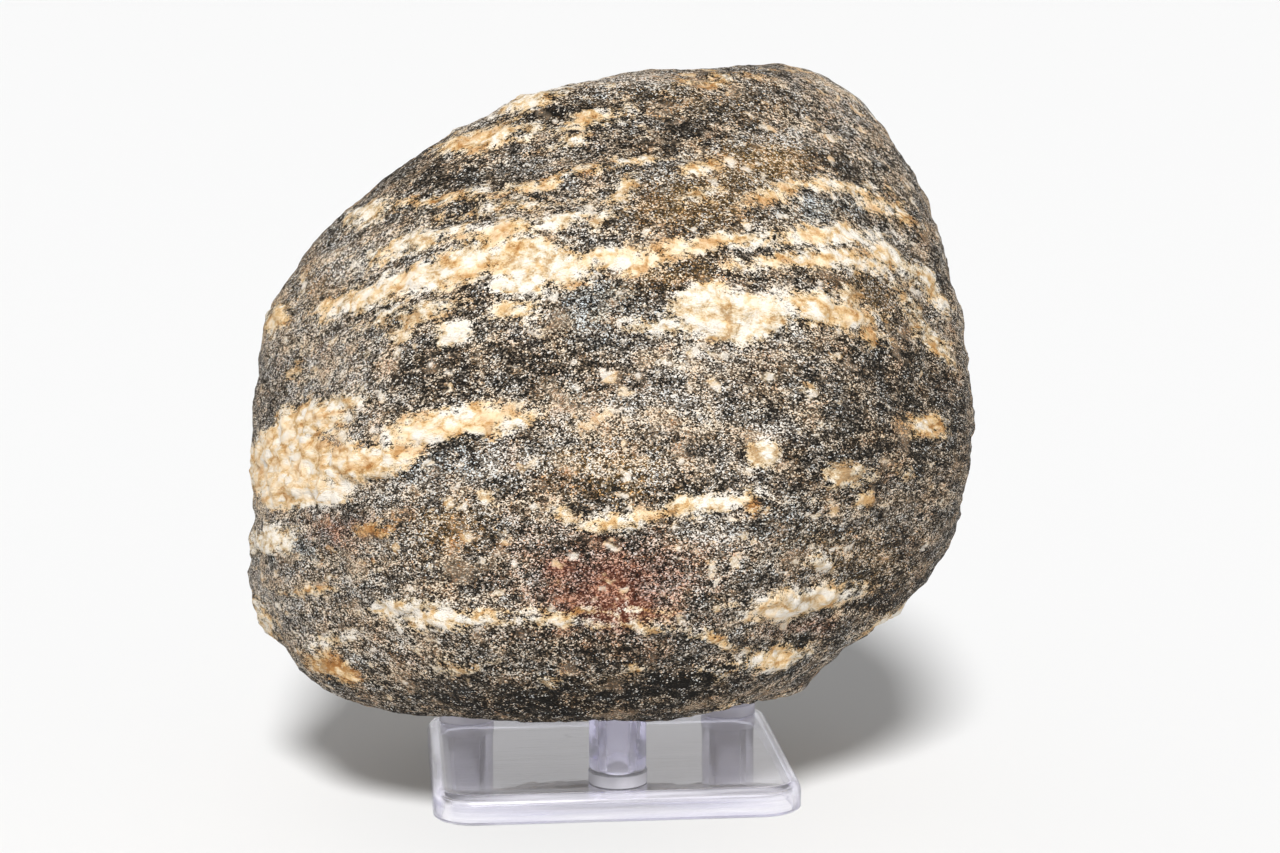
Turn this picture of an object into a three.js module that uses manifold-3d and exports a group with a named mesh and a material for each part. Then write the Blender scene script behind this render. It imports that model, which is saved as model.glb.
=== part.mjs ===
// A rounded gneiss cobble resting on a clear moulded three-peg display stand.
// Millimetres, +Z up, the floor at z = 0. The stand's front faces -Y. The pieces are placed from
// the stand's middle, and the finished group is then moved so that the middle of its box is at
// x = y = 0.

import * as THREE from 'three';
import { mergeVertices } from 'three/addons/utils/BufferGeometryUtils.js';
import Module from 'manifold-3d';

const wasm = await Module();
wasm.setup();

// ---------------------------------------------------------------- driving dimensions, mm

// The stand: a thin moulded tray turned upside down, with three hollow pegs on it.
const STAND_WIDTH = 82.5;
const STAND_DEPTH = 74;
const STAND_CORNER = 9.5;
const PLATE_TOP = 6.35;
const PLATE_THICKNESS = 2;
const SKIRT_THICKNESS = 2;
const EDGE_ROUNDING = 2.7;
const PEG_DIAMETER = 12.7;
const PEG_WALL = 3.4;
const PEG_TOP = 25.4;
const FRONT_PEG_INSET = 9.5;
const REAR_PEG_INSET = 9.5;
const COLLAR_HEIGHT = 3.3;
const COLLAR_WIDENING = 0.25;
const GATE_DIAMETER = 3.2;
const GATE_LENGTH = 0.8;
const ROUND_STEPS = 24;
const CORNER_STEPS = 6;

// The cobble: worn faces set off a middle point and melted into each other.
const STONE_MIDDLE = new THREE.Vector3(0.3, -12, 91.4);
const STONE_LEANS_BACK = 9.7; // degrees about the stand's width
const STONE_TURN = -5.5; // degrees about the vertical
const FACE_CRISPNESS = 18;
const STONE_GRID = 24; // grid steps along each of its six patches
const SEAT_GAP = 0.3;
const SEAT_FLAT = 7.5; // radius of the flat that rests on a peg
const SEAT_FADE = 7; // over which that flat runs out into the stone

// Each worn face: its clock angle about the stone's broad front (0 right, 90 up) and its turn
// towards the front, in degrees, and its distance from the middle.
const WORN_FACES = {
  rightUpper: [17, 0, 80],
  shoulder: [42, 0, 87],
  crownRight: [62, 0, 95],
  crown: [87, 0, 73.5],
  crownLeft: [103, 0, 72.5],
  slopeTop: [116, 0, 66.5],
  slopeLeft: [131, 0, 70.5],
  leftShoulder: [152, 0, 78],
  leftUpper: [171, 0, 81.5],
  left: [187, 0, 82.5],
  leftLow: [205, 0, 101.5],
  leftCorner: [227, 0, 96.5],
  leftUnder: [245, 2, 95.5],
  rightUnder: [304, 6, 76.5],
  rightLow: [338, 0, 84.5],
  right: [356, 0, 82],
  front: [0, 88, 58],
  frontTop: [95, 48, 64],
  frontHighRight: [48, 42, 74],
  frontRight: [8, 42, 73],
  frontLowRight: [318, 42, 70],
  frontHighLeft: [140, 42, 70],
  frontLeft: [185, 42, 73.5],
  frontLowLeft: [225, 42, 82],
  frontBelow: [270, 44, 75],
  frontEdge: [268, 6, 76],
  base: [270, -9.7, 68.5],
  back: [90, -80, 59],
  backTop: [85, -42, 69],
  backHighRight: [50, -44, 76],
  backRight: [18, -46, 73],
  backLeft: [168, -44, 73],
  backHighLeft: [135, -42, 71],
  backLowLeft: [215, -48, 82],
  backBelow: [270, -62, 80],
  backHeel: [305, -40, 88],
};

// Lumps and hollows: a direction from the middle as millimetres right, forward and up, the
// reach over the surface and the height, which is negative for a hollow.
const LUMPS = {
  creamLump: [[-24, 0, 66], 7, 1.3],
  crownNotch: [[-32, 0, 62], 6, -1.6],
  brightLens: [[22, 55, 17], 13, 1.3],
  lensUnderside: [[22, 55, 3], 9, -0.9],
  leftVein: [[-58, 42, -14], 13, 1.2],
  leftVeinTop: [[-60, 35, 6], 9, -0.9],
  darkHollow: [[-6, 57, 14], 14, -0.9],
  upperBand: [[-20, 45, 33], 15, 1.0],
  upperRightBand: [[52, 30, 42], 12, 1.0],
  rightCheek: [[70, 25, -8], 12, 0.9],
  rightDip: [[66, 30, 12], 10, -0.9],
  brickHollow: [[-3, 58, -38], 14, -0.8],
  lowerRightLens: [[40, 45, -44], 11, 1.4],
  lowerRightUndercut: [[42, 40, -56], 8, -1.1],
  lowerLeftBand: [[-30, 50, -48], 11, 0.9],
  rightCorner: [[76, 0, -33], 7, 0.8],
  leftCorner: [[-80, 0, -37], 9, 2.4],
  leftUnderEdge: [[-42, 0, -74], 10, 1.6],
  rightUnderEdge: [[38, 0, -66], 9, 1.6],
  crownEdge: [[37, 0, 74], 9, 1.4],
  slopeEdge: [[-50, 0, 58], 10, 1.2],
  backSwell: [[30, -55, 20], 20, 1.5],
  backHollow: [[-28, -55, -4], 18, -1.4],
  backLedge: [[-10, -50, 40], 14, 1.2],
  topHollow: [[10, -20, 65], 12, -1.1],
  heelLump: [[-40, -45, -35], 14, 1.1],
};

// The layering: thin ledges that follow it round the whole stone. It arches over and under the
// middle as the layers of a lens do, and rises a little to the right.
const LAYER_SPACING = 14;
const LAYER_HEIGHT = 0.5;
const LAYER_ARCH = 0.35;
const LAYER_HALF_WIDTH = 80;
const LAYER_RISE = 0.09;
const LAYER_DIP = 0.12;
const LAYER_WANDER = 1.4; // radians by which a ledge strays up and down
const LAYER_PATCH = 31; // length along a ledge over which it fades out

// Gentle undulation of the whole surface: wave vectors in radians per millimetre and heights.
const SWELLS = [
  { wave: [0.13, 0.05, 0.09], height: 0.5 },
  { wave: [-0.07, 0.16, 0.11], height: 0.4 },
  { wave: [0.19, -0.12, -0.17], height: 0.3 },
];

// ---------------------------------------------------------------- solids

// A closed three.js geometry as a solid that can be joined and cut.
function solid(geometry) {
  const bare = geometry.index ? geometry.toNonIndexed() : geometry.clone();
  bare.deleteAttribute('normal');
  bare.deleteAttribute('uv');
  const merged = mergeVertices(bare, 1e-4);
  return new wasm.Manifold(new wasm.Mesh({
    numProp: 3,
    vertProperties: new Float32Array(merged.attributes.position.array),
    triVerts: new Uint32Array(merged.index.array),
  }));
}

// A solid's faces as a three.js geometry.
function geometryOf(body) {
  const mesh = body.getMesh();
  const geometry = new THREE.BufferGeometry();
  geometry.setAttribute('position', new THREE.BufferAttribute(mesh.vertProperties, 3));
  geometry.setIndex(new THREE.BufferAttribute(mesh.triVerts, 1));
  geometry.computeVertexNormals();
  return geometry;
}

// ---------------------------------------------------------------- the stand

function roundedRectangle(width, depth, corner) {
  const x = width / 2 - corner;
  const y = depth / 2 - corner;
  const shape = new THREE.Shape();
  shape.absarc(x, y, corner, 0, Math.PI / 2);
  shape.absarc(-x, y, corner, Math.PI / 2, Math.PI);
  shape.absarc(-x, -y, corner, Math.PI, 1.5 * Math.PI);
  shape.absarc(x, -y, corner, 1.5 * Math.PI, 2 * Math.PI);
  return shape;
}

// The tray's outside: straight sides with the top edge rounded over.
function trayOutside() {
  const narrowing = 2 * EDGE_ROUNDING;
  const corner = STAND_CORNER - EDGE_ROUNDING;
  const shape = roundedRectangle(STAND_WIDTH - narrowing, STAND_DEPTH - narrowing, corner);
  const rounded = new THREE.ExtrudeGeometry(shape, {
    depth: PLATE_TOP - 2 * EDGE_ROUNDING,
    bevelThickness: EDGE_ROUNDING,
    bevelSize: EDGE_ROUNDING,
    bevelSegments: 4,
    curveSegments: CORNER_STEPS,
  });
  rounded.translate(0, 0, EDGE_ROUNDING);
  const straight = new THREE.ExtrudeGeometry(
    roundedRectangle(STAND_WIDTH, STAND_DEPTH, STAND_CORNER),
    { depth: PLATE_TOP / 2, bevelEnabled: false, curveSegments: CORNER_STEPS },
  );
  return solid(rounded).add(solid(straight));
}

// The hollow under the plate, open at the floor.
function trayHollow() {
  const narrowing = 2 * SKIRT_THICKNESS;
  const corner = STAND_CORNER - SKIRT_THICKNESS;
  const shape = roundedRectangle(STAND_WIDTH - narrowing, STAND_DEPTH - narrowing, corner);
  const below = 1;
  const hollow = new THREE.ExtrudeGeometry(shape, {
    depth: PLATE_TOP - PLATE_THICKNESS + below,
    bevelEnabled: false,
    curveSegments: CORNER_STEPS,
  });
  hollow.translate(0, 0, -below);
  return solid(hollow);
}

// A peg as a turned profile: the collar at its foot, the tube, its rounded rim, and the bore
// down to the plate, with the moulding gate's stub under the plate.
function peg(x, y) {
  const radius = PEG_DIAMETER / 2;
  const bore = radius - PEG_WALL;
  const collar = radius + COLLAR_WIDENING;
  const collarTop = PLATE_TOP + COLLAR_HEIGHT;
  const gateFoot = PLATE_TOP - PLATE_THICKNESS - GATE_LENGTH;
  const sunk = PLATE_TOP - PLATE_THICKNESS / 2;
  const rim = 0.4;
  const profile = [
    [0, gateFoot],
    [GATE_DIAMETER / 2, gateFoot],
    [GATE_DIAMETER / 2, sunk],
    [collar, sunk],
    [collar, collarTop - COLLAR_WIDENING],
    [radius, collarTop],
    [radius, PEG_TOP - rim],
    [radius - rim, PEG_TOP],
    [bore + rim, PEG_TOP],
    [bore, PEG_TOP - rim],
    [bore, PLATE_TOP],
    [0, PLATE_TOP],
  ];
  const turned = new THREE.LatheGeometry(profile.map(([r, z]) => new THREE.Vector2(r, z)), ROUND_STEPS);
  turned.rotateX(Math.PI / 2);
  turned.translate(x, y, 0);
  return solid(turned);
}

// Where the pegs stand, from the stand's middle: one at the front, two at the rear corners.
function pegPlaces() {
  const side = STAND_WIDTH / 2 - REAR_PEG_INSET;
  const rear = STAND_DEPTH / 2 - REAR_PEG_INSET;
  const front = FRONT_PEG_INSET - STAND_DEPTH / 2;
  return [[0, front], [side, rear], [-side, rear]];
}

function displayStand() {
  let body = trayOutside().subtract(trayHollow());
  for (const [x, y] of pegPlaces()) {
    body = body.add(peg(x, y));
  }
  const clear = new THREE.MeshStandardMaterial({
    color: '#e6e4f2',
    roughness: 0.05,
    metalness: 0,
    transparent: true,
    opacity: 0.35,
  });
  const mesh = new THREE.Mesh(geometryOf(body), clear);
  mesh.name = 'display_stand';
  return mesh;
}

// ---------------------------------------------------------------- the cobble

// From the stone's own face, with x right, y away from the viewer and z up, to the part.
function stoneTurn() {
  const lean = THREE.MathUtils.degToRad(-STONE_LEANS_BACK);
  const turn = THREE.MathUtils.degToRad(STONE_TURN);
  return new THREE.Matrix4().makeRotationZ(turn)
    .multiply(new THREE.Matrix4().makeRotationX(lean));
}

// A worn face's direction, from its clock angle and its turn towards the front.
function faceDirection(clock, towardsFront) {
  const angle = THREE.MathUtils.degToRad(clock);
  const turn = THREE.MathUtils.degToRad(towardsFront);
  const across = Math.cos(turn);
  return new THREE.Vector3(Math.cos(angle) * across, -Math.sin(turn), Math.sin(angle) * across);
}

const wornFaces = Object.values(WORN_FACES).map(([clock, towardsFront, distance]) => (
  { direction: faceDirection(clock, towardsFront), distance }
));

const lumps = Object.values(LUMPS).map(([[right, forward, up], reach, height]) => (
  { direction: new THREE.Vector3(right, -forward, up).normalize(), reach, height }
));

// The distance to the melted worn faces: the higher the crispness, the sharper their edges.
function wornRadius(direction) {
  let sum = 0;
  for (const face of wornFaces) {
    sum += Math.max(0, face.direction.dot(direction) / face.distance) ** FACE_CRISPNESS;
  }
  return sum ** (-1 / FACE_CRISPNESS);
}

// Lumps, hollows, layer ledges and swells, as a height over the worn faces.
function relief(direction, radius) {
  const { x, y, z } = direction.clone().multiplyScalar(radius);
  let height = 0;
  for (const lump of lumps) {
    const away = lump.direction.angleTo(direction) * radius / lump.reach;
    height += lump.height * Math.exp(-away * away);
  }
  const arch = 1 + LAYER_ARCH * (x / LAYER_HALF_WIDTH) ** 2;
  const layer = z * arch - LAYER_RISE * x + LAYER_DIP * y;
  const along = (x + y) / LAYER_PATCH;
  const phase = 2 * Math.PI * layer / LAYER_SPACING + LAYER_WANDER * Math.sin(1.7 * along);
  const fading = 0.5 + 0.5 * Math.sin(2.3 * along + layer / LAYER_PATCH);
  height += LAYER_HEIGHT * fading * Math.sin(phase);
  for (const { wave, height: swell } of SWELLS) {
    height += swell * Math.sin(wave[0] * x + wave[1] * y + wave[2] * z);
  }
  return height;
}

// How strongly a point of the underside is pressed flat by the pegs, from 0 to 1.
function seating(point) {
  let most = 0;
  for (const [x, y] of pegPlaces()) {
    const away = Math.hypot(point.x - x, point.y - y);
    most = Math.max(most, 1 - (away - SEAT_FLAT) / SEAT_FADE);
  }
  return THREE.MathUtils.smoothstep(most, 0, 1);
}

// A cube's grid, evened out and thrown onto the stone along rays from its middle.
function gneissStone() {
  const steps = STONE_GRID;
  const cube = new THREE.BoxGeometry(2, 2, 2, steps, steps, steps);
  cube.deleteAttribute('normal');
  cube.deleteAttribute('uv');
  const geometry = mergeVertices(cube, 1e-4);
  const even = (value) => Math.tan(value * Math.PI / 4);
  const turn = stoneTurn();
  const seat = PEG_TOP + SEAT_GAP;
  const place = geometry.attributes.position;
  const point = new THREE.Vector3();
  for (let i = 0; i < place.count; i += 1) {
    const direction = new THREE.Vector3(
      even(place.getX(i)),
      even(place.getY(i)),
      even(place.getZ(i)),
    ).normalize();
    const worn = wornRadius(direction);
    const radius = worn + relief(direction, worn);
    point.copy(direction).multiplyScalar(radius).applyMatrix4(turn).add(STONE_MIDDLE);
    if (point.z < STONE_MIDDLE.z) {
      point.z += seating(point) * (seat - point.z);
    }
    place.setXYZ(i, point.x, point.y, point.z);
  }
  geometry.computeVertexNormals();
  const rock = new THREE.MeshStandardMaterial({ color: '#5b534a', roughness: 0.75, metalness: 0 });
  const mesh = new THREE.Mesh(geometry, rock);
  mesh.name = 'gneiss_stone';
  return mesh;
}

const specimen = new THREE.Group();
specimen.add(displayStand(), gneissStone());
const middle = new THREE.Box3().setFromObject(specimen).getCenter(new THREE.Vector3());
specimen.position.set(-middle.x, -middle.y, 0);

export default specimen;
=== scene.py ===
"""A banded gneiss cobble on a clear three-peg display stand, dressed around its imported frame."""

import math

import bpy
import numpy as np
from bpy.props import FloatProperty, FloatVectorProperty, IntProperty, PointerProperty
from mathutils import Matrix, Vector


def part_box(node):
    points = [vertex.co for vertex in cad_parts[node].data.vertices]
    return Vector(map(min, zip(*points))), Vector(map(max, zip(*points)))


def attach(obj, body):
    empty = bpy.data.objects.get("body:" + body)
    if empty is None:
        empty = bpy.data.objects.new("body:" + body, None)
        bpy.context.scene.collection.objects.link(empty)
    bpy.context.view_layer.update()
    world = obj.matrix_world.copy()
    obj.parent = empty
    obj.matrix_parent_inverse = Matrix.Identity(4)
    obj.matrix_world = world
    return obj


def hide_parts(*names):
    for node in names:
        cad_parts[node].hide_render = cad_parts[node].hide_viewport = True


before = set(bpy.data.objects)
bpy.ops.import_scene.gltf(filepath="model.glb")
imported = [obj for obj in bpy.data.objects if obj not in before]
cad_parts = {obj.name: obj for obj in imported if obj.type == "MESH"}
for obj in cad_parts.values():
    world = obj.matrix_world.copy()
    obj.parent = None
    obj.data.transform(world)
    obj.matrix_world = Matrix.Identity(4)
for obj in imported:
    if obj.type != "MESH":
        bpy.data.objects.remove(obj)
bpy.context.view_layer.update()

bl_info = {
    "name": "Gneiss Specimen",
    "version": (1, 0, 0),
    "blender": (4, 5, 0),
    "location": "3D View > Sidebar > Specimen",
    "description": "Builds a banded gneiss cobble on a clear display stand, with a plain stage",
    "category": "Object",
}

MM = 0.001

# ------ the frame's own sizes

stand_low, stand_high = (np.array(corner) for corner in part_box("display_stand"))
stand_middle = (stand_low + stand_high) / 2
stand_width, stand_depth, peg_top = stand_high - stand_low

# ------ the stand's moulding

TOP_ROUND = 2.7 * MM  # radius over the plate's edge
INNER_ROUND = 0.9 * MM  # radius between the plate and the rim, on the inside
FOOT_CUT = 0.3 * MM  # cut corners of the rim's foot
COLLAR_STEP = 0.25 * MM  # how far a collar stands out of its peg
COLLAR_HEIGHT = 3.3 * MM
STUB_RADIUS = 1.6 * MM  # the moulding stub under each peg
STUB_DEPTH = 0.8 * MM
PEG_ROUND = 0.4 * MM  # radius of the edges at a peg's top
BORE_FLOOR = 2.8 * MM  # how far over the plate a bore ends
BORE_ROUND = 0.6 * MM  # radius at the foot of a bore

# ------ the cobble's form, mm

# The cobble's middle, from the stand's middle in plan and from the floor.
STONE_MIDDLE = (0.3, -12.0, 91.4)
STONE_LEANS_BACK = 9.7  # degrees about the stand's width
STONE_TURN = -5.5  # degrees about the vertical
FACE_CRISPNESS = 18  # the power of the mean that melts the faces together
SEAT_GAP = 0.3  # between the cobble and a peg
SEAT_FLAT = 7.5  # radius of the flat over a peg
SEAT_FADE = 7.0  # and how far round it the underside is drawn to it
PEG_INSET = 9.5  # from the stand's sides to a peg's middle

# Each worn face: clock angle about the broad front (0 right, 90 up) and turn towards the
# front, in degrees, and distance from the middle.
WORN_FACES = {
    "right upper": (17, 0, 80),
    "shoulder": (42, 0, 87),
    "crown right": (62, 0, 95),
    "crown": (87, 0, 73.5),
    "crown left": (103, 0, 72.5),
    "slope top": (116, 0, 66.5),
    "slope left": (131, 0, 70.5),
    "left shoulder": (152, 0, 78),
    "left upper": (171, 0, 81.5),
    "left": (187, 0, 82.5),
    "left low": (205, 0, 101.5),
    "left corner": (227, 0, 96.5),
    "left under": (245, 2, 95.5),
    "right under": (304, 6, 76.5),
    "right low": (338, 0, 84.5),
    "right": (356, 0, 82),
    "front": (0, 88, 58),
    "front top": (95, 48, 64),
    "front high right": (48, 42, 74),
    "front right": (8, 42, 73),
    "front low right": (318, 42, 70),
    "front high left": (140, 42, 70),
    "front left": (185, 42, 73.5),
    "front low left": (225, 42, 82),
    "front below": (270, 44, 75),
    "front edge": (268, 6, 76),
    "base": (270, -9.7, 68.5),
    "back": (90, -80, 59),
    "back top": (85, -42, 69),
    "back high right": (50, -44, 76),
    "back right": (18, -46, 73),
    "back left": (168, -44, 73),
    "back high left": (135, -42, 71),
    "back low left": (215, -48, 82),
    "back below": (270, -62, 80),
    "back heel": (305, -40, 88),
}

# Lumps and hollows: direction from the middle as right, forward and up, reach, height.
LUMPS = {
    "cream lump": (-24, 0, 66, 7, 1.3),
    "crown notch": (-32, 0, 62, 6, -1.6),
    "bright lens": (22, 55, 17, 13, 1.3),
    "lens underside": (22, 55, 3, 9, -0.9),
    "left vein": (-58, 42, -14, 13, 1.2),
    "left vein top": (-60, 35, 6, 9, -0.9),
    "dark hollow": (-6, 57, 14, 14, -0.9),
    "upper band": (-20, 45, 33, 15, 1.0),
    "upper right band": (52, 30, 42, 12, 1.0),
    "right cheek": (70, 25, -8, 12, 0.9),
    "right dip": (66, 30, 12, 10, -0.9),
    "brick hollow": (-3, 58, -38, 14, -0.8),
    "lower right lens": (40, 45, -44, 11, 1.4),
    "lower right undercut": (42, 40, -56, 8, -1.1),
    "lower left band": (-30, 50, -48, 11, 0.9),
    "right corner": (76, 0, -33, 7, 0.8),
    "left corner": (-78, 0, -43, 11, 4.2),
    "left side": (-80, 0, 0, 9, -0.7),
    "left under edge": (-44, 0, -74, 11, 3.2),
    "right under edge": (38, 0, -66, 10, 2.6),
    "right under dip": (62, 0, -52, 8, -1.6),
    "crown edge": (38, 0, 70, 11, 2.6),
    "shoulder edge": (72, 0, 41, 10, 0.9),
    "slope edge": (-50, 0, 58, 10, 1.2),
    "back swell": (30, -55, 20, 20, 1.5),
    "back hollow": (-28, -55, -4, 18, -1.4),
    "back ledge": (-10, -50, 40, 14, 1.2),
    "top hollow": (10, -20, 65, 12, -1.1),
    "heel lump": (-40, -45, -35, 14, 1.1),
}

LAYER_HALF_WIDTH = 80.0  # where the layers' droop is stated
LAYER_ARCH = 12.0  # how far the layers droop at the sides, mm
LAYER_SPREAD = 0.45  # and how much more of that there is for each millimetre up
LAYER_DIP = 0.12  # how much lower the layers lie for each millimetre towards the front

# ------ the cobble's markings, mm

VIEW_DISTANCE = 625.0  # from the viewer to the cobble's middle
MARKINGS_DROP = 1.2  # how far below the stated heights the markings lie
FRONT_END = 24.0  # how far behind the cobble's middle the front's markings end
FRONT_FADE = 22.0  # and over how long a way they fade out
VEIN_REACH = 9.0  # beyond this depth in a vein, or this far out of it, all is the same
WILD_SCARCITY = 2.1  # the more, the fewer veins on the sides and back

# Each pale vein on the broad front, as seen from the viewer's place: its middle right and up
# of the cobble's middle, its half length and half thickness, its rise to the right in
# degrees, how bright it is and how rusty, both from 0 to 1, and for some how far their
# ends droop.
PALE_VEINS = {
    "crown streak": (23.5, 71, 8, 0.8, 8, 0.5, 0.8),
    "rim strip": (-17.5, 65.5, 7, 2, 24, 0.75, 0.3),
    "top vein left": (-27.5, 57.5, 10.5, 2.4, 12, 0.85, 0.8),
    "top vein link": (-17.5, 59.5, 5, 1.3, 10, 0.5, 0.3),
    "top vein right": (-4.5, 61.5, 7, 1.8, 12, 0.85, 0.7),
    "top vein under": (-9, 57, 6.5, 1.0, 12, 0.4, 0.5),
    "shoulder lens": (-54.5, 40.5, 5.5, 1.7, 25, 0.75, 0.3),
    "thin line left": (-39, 43.5, 13, 1.2, 6, 0.75, 0.8),
    "thin line middle": (-16, 48, 15, 1.2, 13, 0.7, 0.85),
    "thin line right": (4, 51.8, 8, 1.1, 8, 0.6, 0.6),
    "thin line lens": (19, 51.3, 5, 1.5, 6, 0.65, 0.6),
    "white scratch": (-27, 46, 4.5, 0.5, 15, 0.9, 0.0),
    "grey streak": (-25.5, 41.5, 11, 1.0, 8, 0.6, 0.5),
    "pink streak": (-42.5, 34.5, 12, 2.0, 17, 0.8, 0.4, 0.5),
    "pale fleck": (-10, 39, 5.5, 1.2, 10, 0.8, 0.1),
    "upper middle streak": (2.5, 46, 4, 2.2, 40, 0.6, 0.4),
    "small upper streak": (19.5, 45, 4, 0.8, 12, 0.55, 0.4),
    "main patch": (-16, 30, 14, 4.4, -6, 0.85, 0.55, 1.0),
    "main patch left": (-37, 27.5, 14, 3.8, 19, 0.9, 0.6),
    "main patch tail": (-54, 22.5, 11, 2.4, 20, 0.8, 0.4),
    "main patch low": (-20, 25, 6, 2.8, 0, 0.95, 0.1),
    "main patch top": (-25.5, 35.5, 7.5, 1.7, 12, 0.9, 0.7),
    "main patch right": (0, 30.5, 8, 2.3, 4, 0.8, 0.5),
    "main patch foot": (-44, 18, 11, 1.7, 12, 0.5, 0.3),
    "pale knot": (0.5, 40, 3.5, 1.5, 30, 0.6, 0.3),
    "small patch right": (-21, 18.5, 5, 2.2, 4, 0.85, 0.45),
    "small patch left": (-35, 14.5, 3.8, 2.6, 20, 0.85, 0.1),
    "white fleck": (-50.5, 18, 2.4, 1.4, 10, 0.85, 0.0),
    "white fleck low": (-47, 14.5, 3, 1.6, 0, 0.6, 0.0),
    "left rim patch": (-74, 17.5, 3.5, 2.4, 50, 0.6, 0.6),
    "left rim streak": (-63.5, 20.5, 3.5, 1.3, 20, 0.6, 0.5),
    "left rim low": (-71, 7, 3, 1.2, 50, 0.5, 0.5),
    "long tail lens": (8, 30, 4.5, 1.8, 10, 0.85, 0.8),
    "long tail": (24, 33.8, 15, 1.5, 7, 0.95, 0.75, 0.4),
    "long tail end": (32.5, 36, 5.5, 1.3, 0, 0.8, 0.4),
    "upper right band left": (38, 46, 8, 1.6, 18, 0.85, 0.8),
    "upper right band": (50.5, 47, 10, 1.3, -6, 0.7, 0.5),
    "upper right band end": (60, 42.5, 5, 1.2, -28, 0.6, 0.6),
    "upper right hook": (65.5, 40.5, 4, 1.2, -55, 0.5, 0.7),
    "right band": (49, 35.8, 11, 2.2, -2, 0.85, 0.45),
    "right band bend": (61.5, 32, 7, 1.9, -33, 0.8, 0.4),
    "right band end": (70, 25, 8, 2.0, -50, 0.7, 0.5),
    "right band under": (48, 30.3, 16, 2.1, -3, 0.85, 0.6, 1.4),
    "round tan grain": (53.5, 23.5, 2.4, 2.0, 0, 0.35, 0.5),
    "eye": (27, 18.2, 14.5, 6.4, -2, 0.78, 0.3),
    "eye left": (12, 15.2, 7.0, 1.9, 0, 0.85, 0.25),
    "eye right": (49, 19, 12, 3.3, -14, 0.85, 0.6),
    "eye end": (59, 12.5, 3.5, 1.9, -20, 0.65, 0.8),
    "right slant": (67, 18.5, 7.5, 1.4, -58, 0.55, 0.5),
    "right slant low": (72, 12, 5.5, 2.0, -50, 0.65, 0.4),
    "rugged vein": (-71.5, -15, 9.5, 9.5, 0, 1.0, 0.7),
    "rugged vein top": (-67.5, -5.5, 7.5, 3.8, 10, 0.8, 0.8),
    "rugged vein neck": (-55, -14, 11, 3.9, 8, 0.95, 0.8),
    "rugged vein foot": (-67, -21, 8, 3.4, 4, 1.1, 0.35),
    "white speckles": (-60.5, -1.5, 5.5, 1.8, 12, 0.6, 0.0),
    "vein right": (-35, -6, 14.5, 3.6, 8, 0.95, 0.7, 1.0),
    "vein right tail": (-22, -7, 5, 1.5, 22, 0.8, 0.6),
    "white patch": (-76, -31.5, 5.5, 2.7, 10, 0.75, 0.1),
    "red spot": (-52, -29.5, 4.5, 1.9, 0, 0.4, 1.0),
    "tan grain": (-27, -22.5, 2.2, 2.0, 0, 0.55, 0.4),
    "middle bar left": (-9, -26.5, 4, 1.5, 0, 0.6, 0.5),
    "middle bar": (2.5, -27.5, 7, 1.8, 4, 0.8, 0.6),
    "middle lens": (22.5, -23.5, 10.5, 2.5, 10, 0.75, 0.4),
    "middle lens end": (31.5, -24, 2.0, 1.8, 0, 0.5, 1.0),
    "pale spot": (32.5, -12.5, 3.8, 3.6, 0, 0.65, 0.3),
    "pale spot high": (44, 2, 1.8, 1.5, 0, 0.6, 0.2),
    "right patch": (71, -6.5, 5.8, 2.9, 0, 0.6, 0.75),
    "right spot": (56, -23, 2.3, 2.0, 0, 0.55, 0.7),
    "right pale patch": (52.5, -17.5, 4.2, 3.0, 0, 0.55, 0.3),
    "right fleck": (66.5, -17, 3, 1.0, -20, 0.5, 0.3),
    "pink blob": (47.5, -37, 2.6, 1.9, 0, 0.65, 0.1),
    "low left lens": (-49, -47.5, 5.2, 1.9, -10, 0.9, 0.35),
    "low left whites": (-41, -47, 4.0, 1.0, 0, 0.7, 0.0),
    "low left lens right": (-38.5, -50.5, 6.2, 2.3, 0, 0.9, 0.5),
    "low left end": (-29, -49.5, 5.2, 1.5, 6, 0.8, 0.5),
    "foot fleck": (-13.5, -64, 3.4, 1.8, 0, 0.5, 0.2),
    "foot fleck left": (-33, -60, 6, 1.3, 10, 0.45, 0.1),
    "low line": (-11.5, -48, 13, 0.7, 0, 0.6, 0.6),
    "low band": (-12, -50, 8.5, 1.6, -4, 0.7, 0.4),
    "low band right": (10, -51, 6, 1.2, -4, 0.5, 0.5),
    "big low lens": (43, -46, 12.5, 3.3, 11, 0.85, 0.6, -0.8),
    "slanted streak": (23.5, -54, 5.5, 1.2, -20, 0.7, 0.7),
    "low lens foot": (35.5, -58, 8, 2.5, 12, 0.8, 0.5),
    "low fleck": (23, -61.5, 2.8, 1.1, 0, 0.6, 0.4),
    "low pink spot": (5, -60.5, 2.4, 1.7, 0, 0.5, 0.7),
    "rim tan streak": (-68, -43.5, 5.5, 1.0, 0, 0.5, 0.4),
    "rim left low": (-77, -49.5, 5, 1.6, -62, 0.65, 0.4),
    "low left streak": (-62, -54, 4.5, 1.1, 15, 0.7, 0.1),
    "low left pink": (-61.5, -60.5, 6.5, 2.6, -24, 0.4, 0.8),
    "foot strip": (28.5, -70.5, 10.5, 1.5, 15, 0.6, 0.6),
    "foot strip right": (60.5, -49.5, 5.5, 1.3, 32, 0.6, 0.5),
}

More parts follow.
